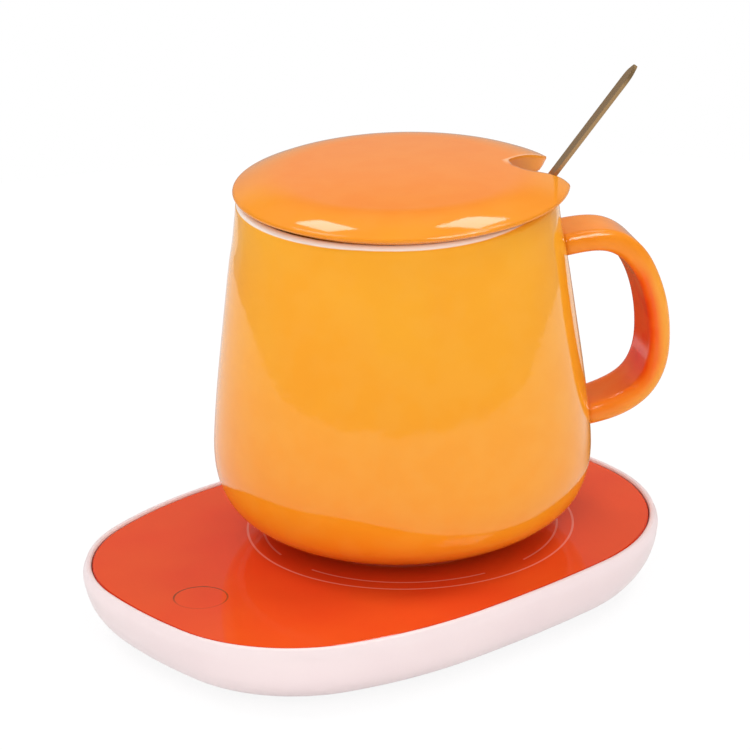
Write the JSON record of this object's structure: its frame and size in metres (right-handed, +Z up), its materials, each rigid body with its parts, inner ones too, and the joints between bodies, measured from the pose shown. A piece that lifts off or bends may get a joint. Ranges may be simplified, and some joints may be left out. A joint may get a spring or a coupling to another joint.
{
  "type": "mug warmer",
  "caption": "Flat rounded warming base with a glass top, touch key and printed heating ring, carrying a lidded mug with a strap handle and a stirring spoon.",
  "frame": {"origin": "centre of the base's footprint, on the table", "axes": "+X along the base from the touch-key end to the heated end, +Y towards the wall with the power socket, +Z up"},
  "size_m": [0.1455, 0.1078, 0.1312],
  "materials": {
    "shell": "gloss",
    "panel_glass": "gloss, back-painted orange",
    "mug_glaze": "gloss orange glaze, white lip and inside",
    "lid_glaze": "gloss light orange glaze",
    "spoon_metal": "satin champagne gold",
    "frame_plastic": "matt",
    "adhesive": "matt",
    "spreader": "satin",
    "mica": "matt",
    "resistive_track": "satin",
    "insulation": "matt",
    "pressed_steel": "satin",
    "sensor_body": "matt",
    "board": "satin",
    "black_part": "satin",
    "spring_steel": "bright",
    "light_guide": "translucent",
    "lamp": "gloss",
    "can": "satin",
    "connector": "satin",
    "socket_shell": "bright",
    "red_wire": "satin",
    "white_wire": "satin",
    "black_wire": "satin",
    "screw_steel": "satin",
    "foot_rubber": "matt"
  },
  "bodies": {
    "warmer": {"base_screw_1": "screw_steel", "base_screw_2": "screw_steel", "base_screw_3": "screw_steel", "base_screw_4": "screw_steel", "board_screw_1": "screw_steel", "board_screw_2": "screw_steel", "board_screw_3": "screw_steel", "control_board": "board", "controller_chip": "black_part", "cutout_strap": "spring_steel", "feed_lead": "red_wire", "filter_coil": "black_part", "glass_panel": "panel_glass", "heat_spreader": "spreader", "heater_track": "resistive_track", "heater_tray": "pressed_steel", "housing": "shell", "insulation_pad": "insulation", "lamp_1": "lamp", "lamp_2": "lamp", "lamp_3": "lamp", "lamp_4": "lamp", "lead_connector": "connector", "light_ring": "light_guide", "link_lead": "red_wire", "lower_mica": "mica", "panel_adhesive": "adhesive", "panel_frame": "frame_plastic", "power_socket": "socket_shell", "power_switch": "black_part", "return_lead": "white_wire", "rubber_foot_1": "foot_rubber", "rubber_foot_2": "foot_rubber", "rubber_foot_3": "foot_rubber", "rubber_foot_4": "foot_rubber", "sensor_lead": "black_wire", "smoothing_capacitor": "can", "socket_tongue": "black_part", "temperature_sensor": "sensor_body", "thermal_cutout": "black_part", "touch_spring": "spring_steel", "tray_screw_1": "screw_steel", "tray_screw_2": "screw_steel", "tray_screw_3": "screw_steel", "upper_mica": "mica"},
    "mug": {"mug": "mug_glaze", "mug_handle": "mug_glaze"},
    "lid": {"lid": "lid_glaze"},
    "spoon": {"spoon": "spoon_metal"}
  },
  "joints": [
    {"name": "mug_lift", "type": "slide", "parent": "warmer", "child": "mug", "axis": [0, 0, 1], "range_m": [0, 0.06]},
    {"name": "lid_lift", "type": "slide", "parent": "mug", "child": "lid", "axis": [0, 0, 1], "range_m": [0, 0.06]},
    {"name": "spoon_draw", "type": "slide", "parent": "mug", "child": "spoon", "axis": [0.5123, -0.3352, 0.7907], "range_m": [0, 0.045]}
  ]
}
